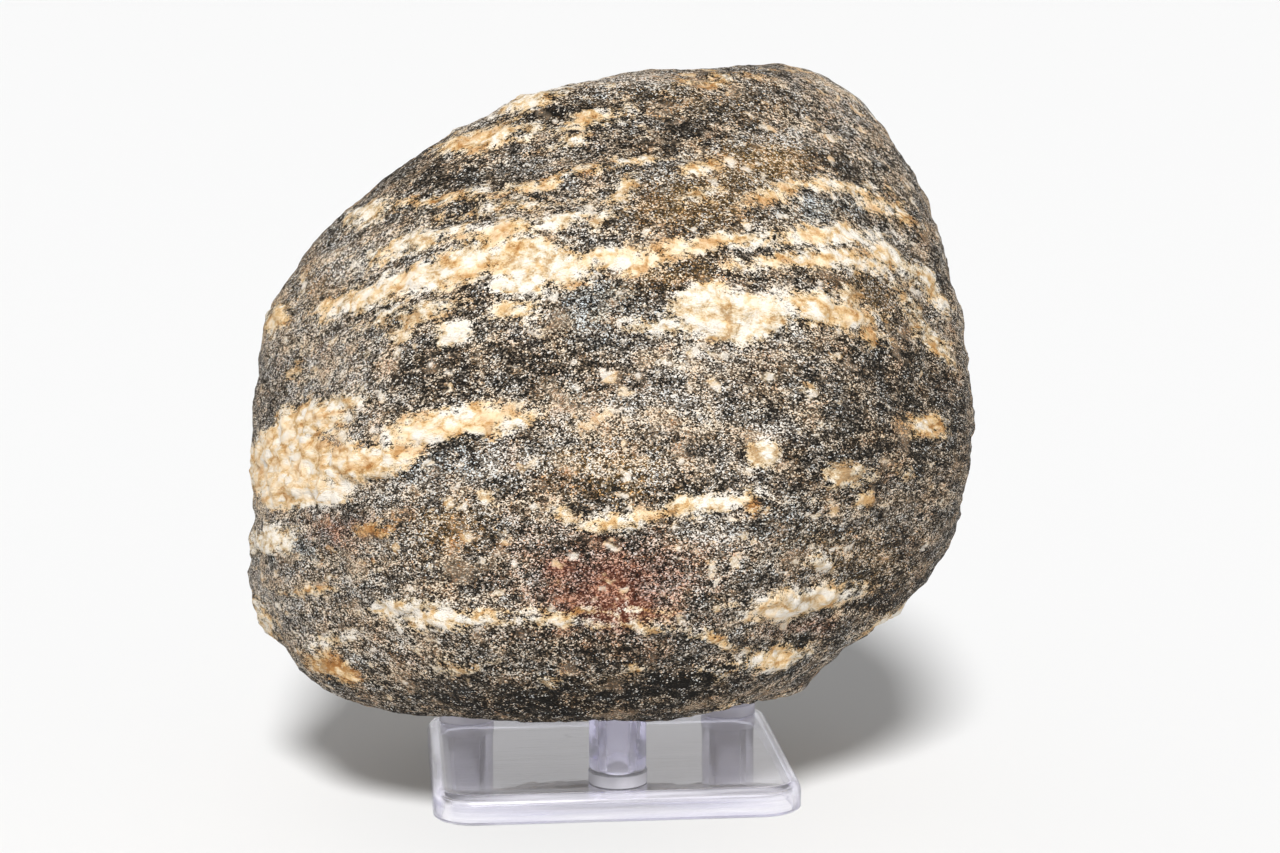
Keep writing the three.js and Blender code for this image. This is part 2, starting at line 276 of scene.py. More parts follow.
# Broad shades of the front: middle right and up, half length, half thickness, rise, and how
# much lighter (or, when negative, darker) the grains are there.
SHADES = {
    "left cheek light": (-76, -23, 4.5, 5, 0, 0.8),
    "vein foot light": (-60, -10, 9, 2.5, 5, 0.9),
    "left fade dark": (-30, -7, 14, 2.5, 3, -0.6),
    "below left vein": (-47, -14, 3.5, 2.5, 0, -0.8),
    "left bar dark": (-70, 12, 6, 2.5, 12, -0.7),
    "slope light": (-32, 61, 8, 2, 22, 1.0),
    "crest light": (50, 69, 11, 3, -35, 0.7),
    "right rim light": (79, 18, 2.5, 7, 15, 0.8),
    "right of band": (60, 41, 6, 2, -15, -0.8),
    "right of eye": (45, 20, 3, 4, 0, -0.7),
    "under crown": (8, 56, 14, 2.2, 5, -1.0),
    "under slope": (-32, 44.5, 13, 3.5, 12, -0.9),
    "left heart": (-39, 6, 11, 5, 0, -1.0),
    "above middle bar": (-16, -21, 7, 2.4, 0, -1.2),
    "above pink blob": (48, -32.5, 9, 2.2, 0, -1.0),
    "above low left": (-37, -41, 10, 3, -5, -0.9),
    "crown light": (41, 57.5, 8, 3.5, -5, 1.0),
    "left rim light": (-75, 16, 5, 8, 60, 0.5),
    "left middle": (-26, -13, 4, 6, 0, 0.8),
    "low left rim": (-74, -44, 9, 3.5, -20, 0.6),
    "above eye": (14, 24, 9, 2.0, 10, -1.0),
    "below low band": (-4, -55.5, 20, 3, -2, -1.0),
    "right of bar": (-2, -31, 4, 3, 0, -1.0),
    "low light": (27, -42, 8, 2.5, 5, 0.3),
    "middle light": (-3, -16, 20, 4, 0, 0.6),
    "crown edge light": (3, 70, 12, 2.5, 6, 1.2),
    # Darker under the big low lens: darker grains and, partly, painted shadow under the lens's
    # ledge.
    "below lens": (42, -54.5, 9, 1.8, 11, -1.2),
    "left of fade": (-42, -9, 12, 3, 5, -1.3),
    "right of fade": (1, -6, 4, 3, 0, -0.9),
    "pale right": (37, -7.5, 7, 2.5, 0, 1.3),
    "dark right heart": (36, 2, 5, 5, 0, -0.9),
    "beside pale spot": (41, -14, 4, 4, 0, -0.9),
    "left shoulder light": (-60, 30, 7, 4, 30, 0.8),
    "slope dark": (-38.5, 50, 15, 4.5, 14, -1.0),
    "crown left dark": (-11, 63.5, 16, 3.4, 12, -1.6),
    "crown dark": (17, 62, 20, 6, -5, -0.6),
    "upper right dark": (52, 52, 12, 3, -25, -0.9),
    "under upper right band": (49, 41.5, 12, 3, -5, -0.2),
    "mustard band": (20, 40.5, 17, 4, 4, -0.45),
    "right edge strip": (73, 28, 10, 2, -60, -0.9),
    "under long tail": (20, 29.5, 10, 3, 8, -0.5),
    "above eye right": (46.5, 26, 10, 1.7, -6, -0.8),
    "dark heart": (-11.5, 7, 21, 6.5, 0, -0.55),
    "blue heart": (-3, 16, 5, 6, 0, 0.4),
    "under shoulder": (-66, 24, 6, 2, 35, -0.3),
    "dark inlet": (-29, 22.8, 8, 2.4, 6, -1.2),
    "left rim dark": (-75, 2, 4, 6, 0, -0.4),
    "right dark": (64, 6, 12, 8, -20, -0.9),
    "left foot dark": (-70, -47, 9, 5, -30, -0.15),
    "right rim dark": (76, -6, 5, 18, 0, -0.4),
    "right flank": (60, -12, 18, 14, 0, -0.85),
    "above middle lens": (12, -22, 17, 2.8, 2, -1.2),
    "below middle bar": (9, -32, 12, 2, 0, -0.5),
    "above big low lens": (28.5, -42, 11, 4, 6, -0.3),
    "low right dark": (63, -42, 12, 7, 35, -1.3),
    # Darker along the cobble's foot: darker grains and, partly, painted shade on the underside that
    # faces down.
    "foot dark": (-11.5, -69, 38, 7, 0, -1.9),
    "above foot": (22, -62, 20, 3.2, 6, -1.2),
    "low left light": (-56, -33, 18, 12, 0, 0.2),
    "brown left": (-54, -36, 12, 3.5, 0, -0.1),
    "low left pocket": (-58.5, -49, 6, 3, 0, -0.45),
    "left grey": (-40.5, -18, 10, 5, 0, 0.3),
    "vein fade": (-8, -4, 12, 4, 2, 0.8),
    "speckled middle": (9.5, -2, 15, 6, 0, 0.6),
    "below eye": (19, 9, 10, 4, 0, 0.8),
    "left speckle": (-63, 6, 13, 8, 0, 0.5),
    "low speckle": (22, -32, 7, 3, 0, 1.1),
    "upper left streaks": (-14, 39, 12, 2.5, 8, 0.5),
}

# Stains: middle right and up, half length, half thickness, rise and strength.
BRICK_STAINS = {
    "brick patch": (0, -42, 18.5, 11.5, 0, 1.1),
    "brick foot": (0, -48.5, 9, 2.5, 0, 0.7),
    "brick spot": (-12.5, -38.5, 3, 2.5, 0, 0.6),
    "red brown left": (-60, -29, 9, 4, 0, 0.65),
    "red brown middle": (-20, -18, 10, 8, 0, 0.15),
    "lens edge": (45, -51, 8, 1.2, 11, 0.7),
}
OCHRE_STAINS = {
    "mustard patch": (35.5, 53, 12, 5, 0, 1.0),
    "mustard band": (17.5, 43, 17, 8, 4, 0.85),
    "under long tail": (16, 27, 10, 4, 8, 0.8),
    "brown middle": (0, -17, 16, 8, 0, 0.65),
    "brown left": (-36, -30, 11, 6, 0, 0.7),
    "left rim": (-68, 27, 7, 8, 20, 0.5),
    "right brown": (58, 22, 12, 7, -40, 0.6),
    "low right brown": (54, -36, 14, 9, 0, 0.45),
    "crown brown": (20, 66, 30, 4, -4, 0.4),
}
COOL_STAINS = {
    "blue heart": (-2.5, 20, 10, 6, 0, 1.0),
    "under upper right band": (47, 42, 9, 3, 0, 0.8),
    "left grey": (-39, -15, 8, 4, 0, 0.8),
    "vein fade": (-6, 0, 10, 3, 0, 0.5),
    "left white": (-72, -33, 8, 5, 0, 0.5),
    "right middle": (40, -30, 12, 7, 0, 0.4),
}

STAINS = {"shade": SHADES, "brick": BRICK_STAINS, "ochre": OCHRE_STAINS, "cool": COOL_STAINS}

# ------ settings a user would change


def a_size(name, description, size):
    """A length that a user can change, stated in mm."""
    return FloatProperty(name=name, description=description, default=size * MM, unit="LENGTH")


def a_number(name, description, default):
    """A plain number that a user can change."""
    return FloatProperty(name=name, description=description, default=default)


def a_colour(name, description, default):
    """A colour that a user can change."""
    return FloatVectorProperty(
        name=name, description=description, subtype="COLOR", size=3, default=default
    )


class CobbleSettings(bpy.types.PropertyGroup):
    """Sizes and colours of the cobble."""

    grid_steps: IntProperty(
        name="Grid Steps", description="Steps along each of the surface's six patches",
        default=128, min=16, max=128,
    )
    relief: a_size("Relief", "Height of the finest modelled grain and ledges", 0.42)
    grain: a_size("Grain Size", "Size across one mineral grain", 0.30)
    dark_mineral: a_colour(
        "Dark Mineral", "Colour of the biotite and hornblende grains", (0.008, 0.0072, 0.006),
    )
    brown_mineral: a_colour(
        "Brown Mineral", "Colour of the weathered brown grains", (0.185, 0.153, 0.120),
    )
    light_mineral: a_colour(
        "Light Mineral", "Colour of the quartz and feldspar grains", (0.74, 0.70, 0.64),
    )
    cream: a_colour("Cream", "Colour of the pale veins", (0.68, 0.545, 0.36))
    rust: a_colour("Rust", "Colour of the stained parts of the veins", (0.68, 0.42, 0.21))
    brick: a_colour("Brick", "Colour of the red stains", (0.33, 0.085, 0.045))
    ochre: a_colour("Ochre", "Colour of the mustard-brown grains", (0.44, 0.27, 0.10))


class StandSettings(bpy.types.PropertyGroup):
    """Sizes and colours of the display stand."""

    plate_top: a_size("Plate Top", "Height of the plate's upper face", 6.35)
    wall: a_size("Wall", "Thickness of the plate and the rim", 2.0)
    peg_wall: a_size("Peg Wall", "Thickness of the pegs' tube", 3.4)
    corner: a_size("Corner", "Radius of the plate's corners", 9.5)
    peg_radius: a_size("Peg Radius", "Outer radius of a peg", 6.35)
    tint: a_colour(
        "Tint", "Colour that a deep layer of the clear plastic leaves in light", (0.45, 0.40, 0.95),
    )
    tint_depth: a_number("Tint Density", "How strongly the plastic colours light, per metre", 13.0)
    index: FloatProperty(
        name="Refractive Index", description="Refractive index of the plastic",
        default=1.49, min=1.0, max=2.0,
    )


class StageSettings(bpy.types.PropertyGroup):
    """Sizes and strengths of the plain stage."""

    floor_size: a_size("Floor Size", "Length of the floor's side", 80000)
    light_strength: a_number("Light Strength", "Strength of the studio light", 3.9)
    light_softness: FloatProperty(
        name="Light Softness", description="Angle across the light, which softens its shadow",
        default=math.radians(13), subtype="ANGLE",
    )
    backdrop_light: a_number("Backdrop Light", "Brightness of the pale backdrop all round", 0.9)
    ceiling_light: a_number("Ceiling Light", "Brightness of the ceiling", 0.25)


# ------ shader arithmetic


class Value:
    """A shader socket that can be used in arithmetic: each operator adds a Math node."""

    def __init__(self, graph, socket):
        self.graph = graph
        self.socket = socket

    def __add__(self, other):
        return self.graph.maths("ADD", self, other)

    __radd__ = __add__

    def __mul__(self, other):
        return self.graph.maths("MULTIPLY", self, other)

    __rmul__ = __mul__

    def __sub__(self, other):
        return self.graph.maths("SUBTRACT", self, other)

    def __rsub__(self, other):
        return self.graph.maths("SUBTRACT", other, self)

    def above(self, low, high):
        """0 below low, 1 above high and a smooth step between."""
        inputs = {"Value": self, "From Min": low, "From Max": high}
        node = self.graph.node("ShaderNodeMapRange", inputs, interpolation_type="SMOOTHSTEP")
        return Value(self.graph, node.outputs["Result"])


class Graph:
    """The node tree of one material, or of the room."""

    def __init__(self, owner):
        self.owner = owner
        owner.use_nodes = True
        self.tree = owner.node_tree
        self.tree.nodes.clear()

    def node(self, kind, inputs=None, **settings):
        """Adds a node, makes its settings, then sets or links its sockets."""
        node = self.tree.nodes.new(kind)
        for name, setting in settings.items():
            setattr(node, name, setting)
        for name, value in (inputs or {}).items():
            socket = node.inputs[name]
            if isinstance(value, Value):
                value = value.socket
            if isinstance(value, bpy.types.NodeSocket):
                self.tree.links.new(value, socket)
            elif socket.type == "RGBA" and len(value) == 3:
                socket.default_value = (*value, 1.0)
            else:
                socket.default_value = value
        return node

    def maths(self, operation, first, second=0.0):
        """The result of one sum on one or two values."""
        node = self.node("ShaderNodeMath", {0: first, 1: second}, operation=operation)
        return Value(self, node.outputs[0])

    def attribute(self, name):
        """A number that the mesh holds at each point."""
        node = self.node("ShaderNodeAttribute", attribute_name=name)
        return Value(self, node.outputs["Fac"])

    def stretched(self, name, scale):
        """A vector that the mesh holds at each point, times a scale along each axis."""
        place = self.node("ShaderNodeAttribute", attribute_name=name).outputs["Vector"]
        return self.node("ShaderNodeMapping", {"Vector": place, "Scale": scale}).outputs[0]

    def noise(self, place, scale, detail=2.0, roughness=0.5):
        """Cloudy noise, from about 0 to 1 round a half."""
        inputs = {"Vector": place, "Scale": scale, "Detail": detail, "Roughness": roughness}
        return Value(self, self.node("ShaderNodeTexNoise", inputs).outputs["Fac"])

    def cells(self, place, scale):
        """Random cells: three even random numbers per cell, and the distance to its middle."""
        inputs = {"Vector": place, "Scale": scale, "Randomness": 1.0}
        node = self.node("ShaderNodeTexVoronoi", inputs, feature="F1")
        parts = self.node("ShaderNodeSeparateColor", {"Color": node.outputs["Color"]})
        return [Value(self, parts.outputs[i]) for i in range(3)] + [
            Value(self, node.outputs["Distance"])
        ]

    def ramp(self, value, stops):
        """A colour looked up in a list of stops, each a place from 0 to 1 and a colour."""
        node = self.node("ShaderNodeValToRGB", {"Fac": value})
        elements = node.color_ramp.elements
        elements.remove(elements[1])
        for i, (place, colour) in enumerate(stops):
            element = elements[0] if i == 0 else elements.new(place)
            element.position = place
            element.color = (*colour, 1.0)
        return node.outputs["Color"]

    def mixed(self, factor, first, second, blend="MIX"):
        """Two colours mixed by a factor."""
        inputs = {0: factor, 6: first, 7: second}
        settings = {"data_type": "RGBA", "blend_type": blend, "clamp_factor": True}
        return self.node("ShaderNodeMix", inputs, **settings).outputs[2]

    def tinted(self, factor, colour, tint):
        """A colour multiplied by a tint, by a factor."""
        return self.mixed(factor, colour, tint, "MULTIPLY")

    def finish(self, shader, output="ShaderNodeOutputMaterial", inside=None):
        """Links the surface's shader, and the one for what is inside, to the output, and
        returns the finished material or room."""
        output = self.node(output)
        self.tree.links.new(shader.outputs[0], output.inputs["Surface"])
        if inside:
            self.tree.links.new(inside.outputs[0], output.inputs["Volume"])
        return self.owner


# ------ the cobble's surface


def lattice_noise(points, wavelength, seed):
    """Smooth noise from about -1 to 1. Random slopes stand at the corners of a lattice of the
    given wavelength, or one along each axis, and each point blends its eight corners' slopes by
    a fifth-degree fade."""
    size = 48
    slopes = np.random.default_rng(seed).normal(size=(size, size, size, 3))
    slopes /= np.linalg.norm(slopes, axis=3, keepdims=True)
    scaled = points / np.array(wavelength)
    cell = np.floor(scaled).astype(int)
    part = scaled - cell
    fade = part**3 * (part * (part * 6 - 15) + 10)
    total = np.zeros(len(points))
    for corner in np.ndindex(2, 2, 2):
        corner = np.array(corner)
        x, y, z = ((cell + corner) % size).T
        rise = ((part - corner) * slopes[x, y, z]).sum(axis=1)
        total += rise * np.where(corner, fade, 1 - fade).prod(axis=1)
    return 1.6 * total


def cube_directions(steps):
    """Unit vectors and quads of a cube's grid thrown onto a sphere. Each face is a grid of two
    angles from -45 to 45 degrees, whose tangents are the places on the cube. Points shared by
    two faces are merged, so the surface is closed."""
    places = np.tan(np.linspace(-1, 1, steps + 1) * math.pi / 4)
    u, v = (grid.ravel() for grid in np.meshgrid(places, places, indexing="ij"))
    one = np.ones_like(u)
    faces = [(one, u, v), (-one, -u, v), (-u, one, v), (u, -one, v), (-v, u, one), (v, u, -one)]
    points = np.concatenate([np.stack(face, axis=1) for face in faces])
    row, column = (grid.ravel() for grid in np.meshgrid(np.arange(steps), np.arange(steps)))
    first = row * (steps + 1) + column
    quad = np.stack([first, first + steps + 1, first + steps + 2, first + 1], axis=1)
    quads = np.concatenate([quad + i * (steps + 1) ** 2 for i in range(6)])
    keys = np.round(points * 1e6).astype(int)
    _, kept, index = np.unique(keys, axis=0, return_index=True, return_inverse=True)
    points = points[kept]
    quads = index.reshape(-1)[quads]
    return points / np.linalg.norm(points, axis=1, keepdims=True), quads


def face_directions(clock, towards_front):
    """Unit vectors from clock angles and turns towards the front, in degrees."""
    clock, turn = np.radians(clock), np.radians(towards_front)
    across = np.cos(turn)
    return np.stack([np.cos(clock) * across, -np.sin(turn), np.sin(clock) * across], axis=1)


def worn_radius(directions):
    """The distance to the worn faces melted together: the power mean of each face's nearness,
    its direction's cosine over its distance, with the crispness as the power."""
    clock, turn, distance = np.array(list(WORN_FACES.values()), dtype=float).T
    nearness = np.maximum(directions @ face_directions(clock, turn).T / distance, 0)
    return (nearness**FACE_CRISPNESS).sum(axis=1) ** (-1 / FACE_CRISPNESS)


def layer_place(points):
    """Where a point lies in the layering, in mm: along, away and across. The layers arch over
    the middle: they droop with the square of the way out to the sides."""
    x, y, z = points.T
    droop = (LAYER_ARCH + LAYER_SPREAD * z) * (x / LAYER_HALF_WIDTH) ** 2
    return np.stack([x, y, z + droop + LAYER_DIP * y], axis=1)


def lump_height(directions, radius):
    """The lumps and hollows: a bell curve of the way over the surface from each one's middle."""
    height = np.zeros(len(directions))
    for right, forward, up, reach, rise in LUMPS.values():
        middle = np.array([right, -forward, up], dtype=float)
        middle /= np.linalg.norm(middle)
        away = np.arccos(np.clip(directions @ middle, -1, 1)) * radius / reach
        height += rise * np.exp(-(away**2))
    return height


def viewed_place(points):
    """Right and up of the cobble's middle as the viewer sees it, in mm at the middle's depth."""
    x, y, z = points.T
    nearness = VIEW_DISTANCE / (VIEW_DISTANCE + y)
    return x * nearness, z * nearness + MARKINGS_DROP


def patch_reach(right, up, patch, droop=0.0):
    """How far out of a lens-shaped patch each point lies: 0 in its middle, 1 on its edge. The
    patch has a middle, a half length, a half thickness, a rise, and ends that droop."""
    middle_right, middle_up, length, thickness, rise = patch
    angle = math.radians(rise)
    x, y = right - middle_right, up - middle_up
    along = x * math.cos(angle) + y * math.sin(angle)
    across = y * math.cos(angle) - x * math.sin(angle) + droop * (along / length) ** 2
    return np.hypot(along / length, across / thickness)


def front_share(points):
    """1 on the broad front, falling smoothly to 0 a little way round the sides."""
    share = np.clip((FRONT_END - points[:, 1]) / FRONT_FADE, 0, 1)
    return share**2 * (3 - 2 * share)


def markings(points):
    """The numbers that colour each point: how deep it lies in a pale vein (in mm, negative
    outside), how bright and how rusty that vein is, and the shade and stains."""
    right, up = viewed_place(points)
    right = right + 2.0 * lattice_noise(points, 10.0, 18) + 0.9 * lattice_noise(points, 4.5, 19)
    up = up + 1.3 * lattice_noise(points, 8.0, 20) + 0.9 * lattice_noise(points, 4.0, 21)
    front = front_share(points)
    layers = layer_place(points)
    wild = 7.0 * lattice_noise(layers, (34, 34, 7), 11) - WILD_SCARCITY
    wild += 2.0 * lattice_noise(layers, (14, 14, 3.5), 12)
    wild_rust = 0.5 + 0.9 * lattice_noise(layers, (20, 20, 6), 13)
    vein = np.full(len(points), -VEIN_REACH)
    bright = np.full(len(points), 0.7)
    rust = np.full(len(points), 0.4)
    for row in PALE_VEINS.values():
        patch, (brightness, rustiness, *droop) = row[:5], row[5:]
        depth = (1 - patch_reach(right, up, patch, *droop)) * patch[3]
        nearer = depth > vein
        vein = np.where(nearer, depth, vein)
        bright = np.where(nearer, brightness, bright)
        rust = np.where(nearer, rustiness, rust)
    vein = front * vein + (1 - front) * wild
    bright = front * bright + (1 - front) * 0.75
    rust = front * rust + (1 - front) * np.clip(wild_rust, 0, 1)
    numbers = {"vein": np.clip(vein, -VEIN_REACH, VEIN_REACH), "bright": bright, "rust": rust}
    wild_stains = {
        "shade": 0.6 * lattice_noise(1.4 * layers, (34, 34, 7), 14),
        "brick": np.clip(1.6 * lattice_noise(points, 42.0, 15) - 0.7, 0, 0.8),
        "ochre": np.clip(1.4 * lattice_noise(points, 33.0, 16), 0, 0.9),
        "cool": np.clip(1.4 * lattice_noise(points, 27.0, 17), 0, 0.9),
    }
    for name, wild_stain in wild_stains.items():
        total = (1 - front) * wild_stain
        for *patch, strength in STAINS[name].values():
            total += front * strength * np.exp(-(patch_reach(right, up, patch) ** 2))
        numbers[name] = total
    return numbers


def fine_relief(points, vein, scale):
    """Ledges that follow the layers, undulation, grain and the veins' rugged rise, in mm. The
    ledges are noise squeezed across the layers, and the rest is noise at ever finer sizes."""
    layers = layer_place(points)
    height = 1.6 * lattice_noise(layers, (30, 30, 5), 1)
    height += 0.8 * lattice_noise(layers, (13, 13, 2.8), 2)
    height += 1.7 * lattice_noise(points, 17.0, 3) + 0.8 * lattice_noise(points, 7.0, 4)
    height += 0.5 * lattice_noise(points, 3.2, 5)
    rough = 0.6 + 0.6 * np.clip(lattice_noise(points, 26.0, 6), 0, 1)
    grain = lattice_noise(points, 2.1, 7)
    height += rough * (grain - 0.8 * np.clip(-lattice_noise(points, 4.5, 8) - 0.25, 0, 1))
    inside = np.clip((vein + 1.0) / 2.5, 0, 1)
    height += inside * (1.6 + 2.4 * lattice_noise(points, 4.5, 9) + 1.2 * grain)
    return scale * height


def stone_turn():
    """From the cobble's own face, with x right, y away and z up, to the frame."""
    lean, turn = math.radians(-STONE_LEANS_BACK), math.radians(STONE_TURN)
    return np.array(Matrix.Rotation(turn, 3, "Z") @ Matrix.Rotation(lean, 3, "X"))


def peg_places():
    """Where the pegs stand, from the stand's middle, in mm."""
    side = stand_width / MM / 2 - PEG_INSET
    rear = stand_depth / MM / 2 - PEG_INSET
    return ((0, -rear), (side, rear), (-side, rear))


def pressed_by_pegs(points):
    """The underside brought to the seats' height over each peg, fading out round it."""
    seat = peg_top / MM + SEAT_GAP
    most = np.zeros(len(points))
    for x, y in peg_places():
        away = np.hypot(points[:, 0] - x, points[:, 1] - y)
        most = np.maximum(most, 1 - (away - SEAT_FLAT) / SEAT_FADE)
    share = np.clip(most, 0, 1)
    share = share**2 * (3 - 2 * share) * (points[:, 2] < STONE_MIDDLE[2])
    points[:, 2] += share * (seat - points[:, 2])
    return points


def new_object(name, data):
    """An object at the origin that holds a mesh, a light or a camera."""
    obj = bpy.data.objects.new(name, data)
    bpy.context.collection.objects.link(obj)
    return obj


def new_mesh(name, points, faces, material):
    """A smooth mesh object at the origin from lists of points, in metres, and of faces."""
    mesh = bpy.data.meshes.new(name)
    mesh.from_pydata(points, [], faces)
    mesh.materials.append(material)
    mesh.shade_smooth()
    return new_object(name, mesh)


def hold_numbers(mesh, name, numbers):
    """Stores one number, or one vector, at each point of a mesh."""
    kind, slot = ("FLOAT", "value") if numbers.ndim == 1 else ("FLOAT_VECTOR", "vector")
    held = mesh.attributes.new(name, kind, "POINT")
    held.data.foreach_set(slot, numbers.astype(np.float32).ravel())


# ------ the cobble's finish


def between(first, second, part):
    """The colour a given part of the way from one colour to another."""
    return tuple(a + part * (b - a) for a, b in zip(first, second))


def gneiss_finish(settings):
    """Speckled dark rock with pale, rusty-edged veins, red and ochre stains, and a bump as fine as
    its grains. Some white specks are painted glints, some black spots partly painted shade in pits,
    and the veins' white is partly painted highlight."""
    graph = Graph(bpy.data.materials.new("gneiss"))
    place = graph.node("ShaderNodeTexCoord").outputs["Object"]
    flat = graph.stretched("layering", (1.0, 1.0, 1.25))
    banded = graph.stretched("layering", (1.0, 1.0, 3.5))
    per_grain = 1 / settings.grain

    first, second, third, away = graph.cells(flat, per_grain)
    coarse, coarse_hue, _, _ = graph.cells(flat, per_grain / 2)
    clot, clot_hue, crystal, clot_away = graph.cells(flat, per_grain / 12)
    cloud = graph.noise(banded, 75.0, roughness=0.6) - 0.5
    streak = graph.noise(banded, 240.0, roughness=0.6) - 0.5
    clump = graph.noise(flat, 420.0, roughness=0.6) - 0.5
    blotch = graph.noise(place, 150.0, detail=3.0, roughness=0.6) - 0.5

    # The rock: dark and light minerals by grain, in shares that the shade and the clouds move.
    shade = graph.attribute("shade")
    share = cloud * 0.85 + streak * 0.6 + clump * 0.5 + blotch * 0.45
    share = share * (1 - shade * 0.5) + shade * 0.27
    lightness = first * 1.2 + coarse * 0.15 + share - 0.205
    minerals = (settings.dark_mineral, settings.brown_mineral, settings.light_mineral)
    dark, brown, light = (tuple(mineral) for mineral in minerals)
    rock = graph.ramp(lightness, [
        (0.03, dark), (0.22, between(dark, brown, 0.16)), (0.44, between(dark, brown, 0.58)),
        (0.62, brown), (0.80, between(brown, light, 0.33)), (0.97, light),
    ])
    # Black spots: dark mineral flakes and, partly, painted shade in the pits between the grains,
    # more of them where the shade number is low.
    flakes_and_pit_shade = (coarse + shade * 0.2 + clump * 0.7).above(0.2, 0.08) * 0.85
    rock = graph.mixed(flakes_and_pit_shade, rock, dark)
    # A few grains turned near white: bright quartz and, partly, painted glints.
    rock = graph.mixed((third + clump * 0.5).above(0.92, 0.95) * 0.9, rock, light)
    haze = (blotch * 1.4 + (clot_hue - 0.5) * 0.4 + clump * 0.5).above(0.12, 0.4) * 0.35
    rock = graph.mixed(haze, rock, between(brown, light, 0.35))
    dim = 1 - lightness.above(0.7, 0.95) * 0.75
    tinge = (blotch * 1.6 + cloud * 1.2 + streak * 0.6 + clot_hue * 0.3).above(-0.15, 0.5)
    rock = graph.tinted(tinge, rock, (1.03, 0.92, 0.77))
    warm = (second + blotch * 1.2 + clump * 0.6).above(0.45, 1.05) * dim
    rock = graph.tinted(warm, rock, (1.04, 0.87, 0.68))
    cool = (graph.attribute("cool") * 0.8 + third * 0.6 - blotch - 0.35).above(0.1, 0.6)
    rock = graph.tinted(cool, rock, (0.88, 1.0, 1.13))

    # Stains, which colour whole grains.
    ochre = graph.attribute("ochre") + (coarse_hue - 0.5) * 0.7 + (second - 0.5) * 0.6
    mustard = graph.mixed(0.1, graph.tinted(1.0, rock, (1.10, 0.84, 0.48)), settings.ochre)
    rock = graph.mixed(ochre.above(0.25, 1.0) * dim, rock, mustard)
    brick = graph.attribute("brick") + blotch * 1.4 + clump * 0.6 + (second - 0.5) * 0.5
    rock = graph.tinted(brick.above(0.0, 1.0), rock, (0.78, 0.53, 0.48))
    rock = graph.mixed(brick.above(0.6, 1.6) * 0.28, rock, settings.brick)

    # The veins: cream crystals between white and rust, the white partly painted highlight, with a
    # ragged, speckled edge.
    bright, rust, depth = (graph.attribute(name) for name in ("bright", "rust", "vein"))
    crystals = graph.noise(flat, 520.0, roughness=0.7) - 0.5
    crease = graph.noise(flat, 210.0) - 0.5
    seam = 1 - (crease * crease).above(0.0, 0.006)
    cream = tuple(settings.cream)
    white = between(cream, (0.95, 0.93, 0.90), 0.6)
    buff = tuple(c * part for c, part in zip(cream, (0.66, 0.53, 0.40)))
    # The vein's lightness: crystal tone and, partly, painted highlight on the crystal lumps,
    # lightest in each clot's middle.
    vein_tone_and_highlight = crystals * 2.2 + clump + blotch + (first - 0.5) * 0.35
    vein_tone_and_highlight = vein_tone_and_highlight + (crystal - 0.5) * 0.3 + (0.5 - clot_away) * 0.8 + bright * 1.1 + cloud * 0.8
    vein_tone_and_highlight = vein_tone_and_highlight - seam * 0.2 - 0.1
    vein_colour = graph.ramp(vein_tone_and_highlight, [(0.05, buff), (0.45, cream), (0.95, white)])
    stain = seam * 0.35 - crease * 1.6 + blotch * 1.4 + clump * 0.8 + (rust - 0.5) * 1.2 + cloud
    stain = stain + (clot_hue - 0.5) * 0.4 + (clot_away - 0.5) * 0.9 - 0.15
    rusty = graph.tinted(1.0, vein_colour, settings.rust)
    vein_colour = graph.tinted(stain.above(-0.25, 0.5) * 0.85, vein_colour, (1.0, 0.82, 0.56))
    vein_colour = graph.mixed(stain.above(0.3, 1.0) * 0.8, vein_colour, rusty)
    edge = depth * 0.75 + clump * 1.4 + streak * 1.8 + blotch * 1.6 + (bright - 0.7)
    edge = edge + (lightness - 0.5) * 0.9 + (coarse - 0.5) * 0.6 + 0.2
    clots = (clot + clump * 2.2 + blotch + shade * 0.25 - clot_away * 0.9).above(0.52, 0.9) * 0.7
    specks = (coarse * 0.5 + first * 0.45 + clump * 0.8 - bright * 0.16).above(0.72, 0.86)
    vein = graph.maths("MAXIMUM", edge.above(-0.35, 0.75), clots) * (1 - specks * 0.6)

    # Grains stand a little proud of each other, and the dark flakes are glossier.
    height = (1 - away) * 0.5 + first * 0.35 + clump * 1.2 + crystals - seam * 0.25
    bump = graph.node(
        "ShaderNodeBump", {"Height": height, "Strength": 0.8, "Distance": 0.5 * MM}
    )
    gloss = 0.78 - second.above(0.85, 0.97) * 0.4 + clump * 0.2
    shader = graph.node("ShaderNodeBsdfPrincipled", {
        "Base Color": graph.mixed(vein, rock, vein_colour), "Roughness": gloss,
        "Normal": bump.outputs[0], "IOR": 1.5, "Specular IOR Level": 0.1,
    })
    return graph.finish(shader)


def haze_share(graph, place, settings, ripple, flow):
    """How hazy the plastic is, in collars, pegs and the tray's edge, and how lilac, on the edge
    alone. The edge's haze is painted light: whiter over the rounded top as a painted highlight, and
    lilac grey down the wall as painted light guided along the plate."""
    parts = graph.node("ShaderNodeSeparateXYZ", {"Vector": place})
    across, along, height = (Value(graph, parts.outputs[axis]) for axis in "XYZ")
    width, depth = float(stand_width), float(stand_depth)
    past_side = graph.maths("ABSOLUTE", across - float(stand_middle[0])) - width / 2
    past_end = graph.maths("ABSOLUTE", along - float(stand_middle[1])) - depth / 2
    edge = graph.maths("MAXIMUM", past_side, past_end).above(-3.2 * MM, -1.2 * MM)
    over_plate = height - settings.plate_top
    peg = over_plate.above(2.6 * MM, 3.2 * MM)
    collar = over_plate.above(0.1 * MM, 0.5 * MM) * (1 - peg)
    rounding = over_plate.above(-2.6 * MM, -1.0 * MM)
    # On the tray's edge the haze, streaked by the flow, is painted light.
    share = collar * (ripple * 1.1) + edge * (flow * 1.6 - 0.5 + rounding * 0.2) + peg * 0.16
    return share, edge * (1 - rounding)


